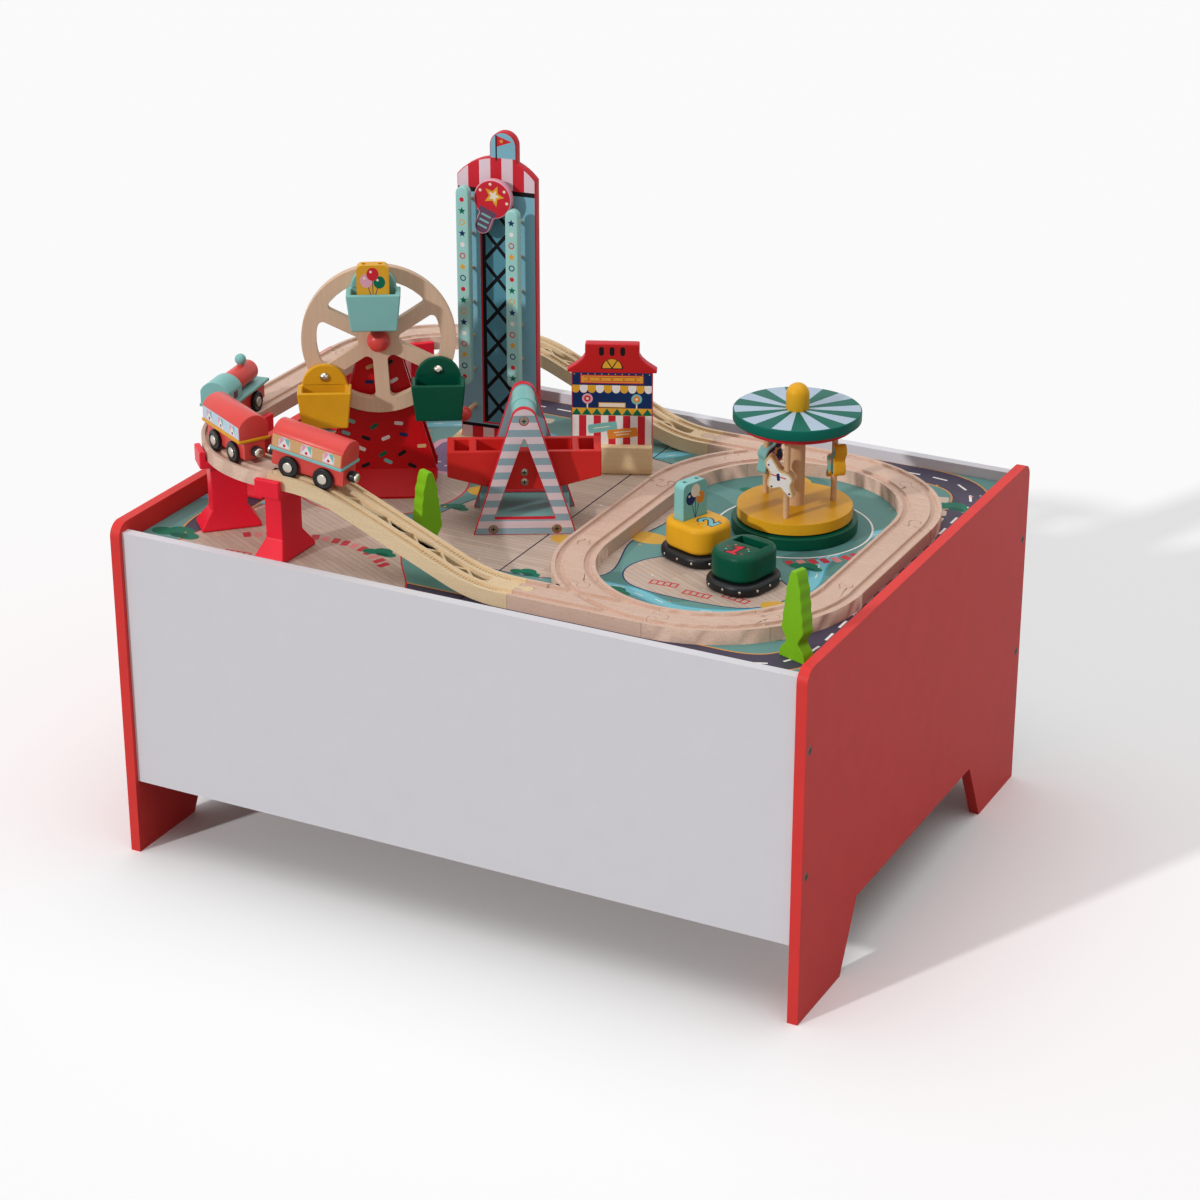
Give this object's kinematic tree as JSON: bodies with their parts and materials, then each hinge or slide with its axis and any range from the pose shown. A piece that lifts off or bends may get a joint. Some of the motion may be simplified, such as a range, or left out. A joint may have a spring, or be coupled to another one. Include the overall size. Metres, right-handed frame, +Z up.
{
  "type": "train table",
  "caption": "Wooden play table with a rimmed board, a looped railway with a raised bridge, a train, a Ferris wheel, a drop tower, a swing ship, a carousel and bumper cars.",
  "frame": {"origin": "on the floor under the middle of the table", "axes": "+X along the length to the right, +Y from the front to the back, +Z up"},
  "size_m": [0.618, 0.471, 0.572],
  "materials": {
    "white_panel": "satin white lacquer on board",
    "red_panel": "satin coral red lacquer on board",
    "printed_board": "matt printed board",
    "beech": "plain sanded beech",
    "cream_ramp": "plain sanded beech",
    "steel": "dark zinc",
    "red_plastic": "moulded red plastic",
    "red_wood": "satin red paint on wood",
    "teal_wood": "satin teal paint on wood",
    "yellow_wood": "satin yellow paint on wood",
    "green_wood": "satin dark green paint on wood",
    "blue_print": "printed and lacquered board",
    "stripe_wood": "printed stripes on board",
    "lime_wood": "satin lime paint on wood",
    "black_rubber": "black bumper ring",
    "black_plastic": "black wheel with a bright hub",
    "pin_steel": "bright pin head",
    "coupler_black": "black sleeve with a bright magnet face",
    "blue_wood": "printed light blue on wood",
    "tan_wood": "printed tan on wood"
  },
  "bodies": {
    "table": {"front_panel": "white_panel", "back_panel": "white_panel", "left_end_panel": "red_panel", "right_end_panel": "red_panel", "play_board_left": "printed_board", "play_board_right": "printed_board", "board_cleats": "beech", "wood_screws": "steel", "track_switches": "beech", "track_curves": "beech", "track_straights": "beech", "ramp_tracks": "cream_ramp", "bridge_piers": "red_plastic", "ferris_stand": "red_plastic", "ferris_axle": "red_wood", "tower_panel": "blue_print", "tower_rails": "teal_wood", "tower_knobs": "red_wood", "stand_blocks": "beech", "ship_frames": "stripe_wood", "ship_base": "teal_wood", "ship_axle": "beech", "booth_panel": "red_wood", "carousel_base": "green_wood", "trees": "lime_wood"},
    "ferris_rotor": {"ferris_wheel": "beech", "gondola_pins": "pin_steel"},
    "teal_gondola": {"gondola_teal": "teal_wood"},
    "yellow_gondola": {"gondola_yellow": "yellow_wood"},
    "green_gondola": {"gondola_green": "green_wood"},
    "rider": {"gondola_rider": "yellow_wood"},
    "tumbler": {"tower_tumbler": "red_wood"},
    "swing": {"ship_hanger": "teal_wood", "ship_hull": "red_wood"},
    "carousel": {"carousel_turntable": "yellow_wood", "carousel_column": "beech", "carousel_poles": "beech", "carousel_animals": "beech", "carousel_canopy": "green_wood"},
    "yellow_car": {"yellow_car_body": "yellow_wood", "yellow_car_bumper": "black_rubber"},
    "car_passenger": {"car_rider": "teal_wood"},
    "green_car": {"green_car_body": "green_wood", "green_car_bumper": "black_rubber"},
    "engine": {"engine_chassis": "red_wood", "engine_cab": "teal_wood", "engine_boiler": "red_wood", "engine_coupler": "coupler_black"},
    "coach1": {"coach1_chassis": "red_wood", "coach1_cabin": "blue_wood", "coach1_couplers": "coupler_black"},
    "coach2": {"coach2_chassis": "red_wood", "coach2_cabin": "tan_wood", "coach2_couplers": "coupler_black"},
    "engine_front_axle": {"engine_front_wheels": "black_plastic"},
    "engine_rear_axle": {"engine_rear_wheels": "black_plastic"},
    "coach1_front_axle": {"coach1_front_wheels": "black_plastic"},
    "coach1_rear_axle": {"coach1_rear_wheels": "black_plastic"},
    "coach2_front_axle": {"coach2_front_wheels": "black_plastic"},
    "coach2_rear_axle": {"coach2_rear_wheels": "black_plastic"}
  },
  "joints": [
    {"name": "ferris_spin", "type": "hinge", "parent": "table", "child": "ferris_rotor", "pos_m": [-0.172, -0.03259, 0.419], "axis": [-0.5, 0.866, 0], "continuous": true},
    {"name": "teal_gondola_swing", "type": "hinge", "parent": "ferris_rotor", "child": "teal_gondola", "pos_m": [-0.17027, -0.04129, 0.47342], "axis": [-0.5, 0.866, 0], "continuous": true},
    {"name": "yellow_gondola_swing", "type": "hinge", "parent": "ferris_rotor", "child": "yellow_gondola", "pos_m": [-0.20738, -0.06272, 0.38932], "axis": [-0.5, 0.866, 0], "continuous": true},
    {"name": "green_gondola_swing", "type": "hinge", "parent": "ferris_rotor", "child": "green_gondola", "pos_m": [-0.12575, -0.01558, 0.39426], "axis": [-0.5, 0.866, 0], "continuous": true},
    {"name": "rider_lift", "type": "slide", "parent": "teal_gondola", "child": "rider", "axis": [0, 0, 1], "range_m": [0, 0.028]},
    {"name": "tumbler_drop", "type": "slide", "parent": "table", "child": "tumbler", "axis": [0, 0, 1], "range_m": [-0.185, 0]},
    {"name": "ship_swing", "type": "hinge", "parent": "table", "child": "swing", "pos_m": [-0.0329, -0.0375, 0.382], "axis": [-0.4848, 0.8746, 0], "range_deg": [-40, 40]},
    {"name": "carousel_spin", "type": "hinge", "parent": "table", "child": "carousel", "pos_m": [0.1723, 0.0492, 0.2935], "axis": [0, 0, 1], "continuous": true},
    {"name": "yellow_car_drive", "type": "slide", "parent": "table", "child": "yellow_car", "axis": [0.9397, -0.342, 0], "range_m": [-0.024, 0]},
    {"name": "passenger_lift", "type": "slide", "parent": "yellow_car", "child": "car_passenger", "axis": [0, 0, 1], "range_m": [0, 0.05]},
    {"name": "green_car_drive", "type": "slide", "parent": "table", "child": "green_car", "axis": [-0.225, -0.9744, 0], "range_m": [-0.015, 0.04]},
    {"name": "engine_run", "type": "hinge", "parent": "table", "child": "engine", "pos_m": [-0.176, -0.088, 0.356], "axis": [0, 0, 1], "range_deg": [0, 8.79]},
    {"name": "coach1_run", "type": "hinge", "parent": "table", "child": "coach1", "pos_m": [-0.176, -0.088, 0.356], "axis": [0, 0, 1], "range_deg": [0, 8.79]},
    {"name": "coach2_run", "type": "hinge", "parent": "table", "child": "coach2", "pos_m": [-0.16, -0.186, 0.23486], "axis": [0, 1, 0], "range_deg": [0, 7.12]},
    {"name": "engine_front_roll", "type": "hinge", "parent": "engine", "child": "engine_front_axle", "pos_m": [-0.2739, -0.08358, 0.3628], "axis": [-0.9903, -0.1392, 0], "continuous": true},
    {"name": "engine_rear_roll", "type": "hinge", "parent": "engine", "child": "engine_rear_axle", "pos_m": [-0.26889, -0.11923, 0.3628], "axis": [-0.9903, -0.1392, 0], "continuous": true},
    {"name": "coach1_front_roll", "type": "hinge", "parent": "coach1", "child": "coach1_front_axle", "pos_m": [-0.2382, -0.16373, 0.3628], "axis": [-0.5, -0.866, 0], "continuous": true},
    {"name": "coach1_rear_roll", "type": "hinge", "parent": "coach1", "child": "coach1_rear_axle", "pos_m": [-0.21049, -0.17973, 0.3628], "axis": [-0.5, -0.866, 0], "continuous": true},
    {"name": "coach2_front_roll", "type": "hinge", "parent": "coach2", "child": "coach2_front_axle", "pos_m": [-0.15851, -0.186, 0.36279], "axis": [0, 1, 0], "continuous": true},
    {"name": "coach2_rear_roll", "type": "hinge", "parent": "coach2", "child": "coach2_rear_axle", "pos_m": [-0.12681, -0.186, 0.35842], "axis": [0, 1, 0], "continuous": true}
  ],
  "couplings": [
    {"joint": "coach1_run", "follows": "engine_run", "ratio": 1},
    {"joint": "coach2_run", "follows": "engine_run", "ratio": 0.80897}
  ]
}
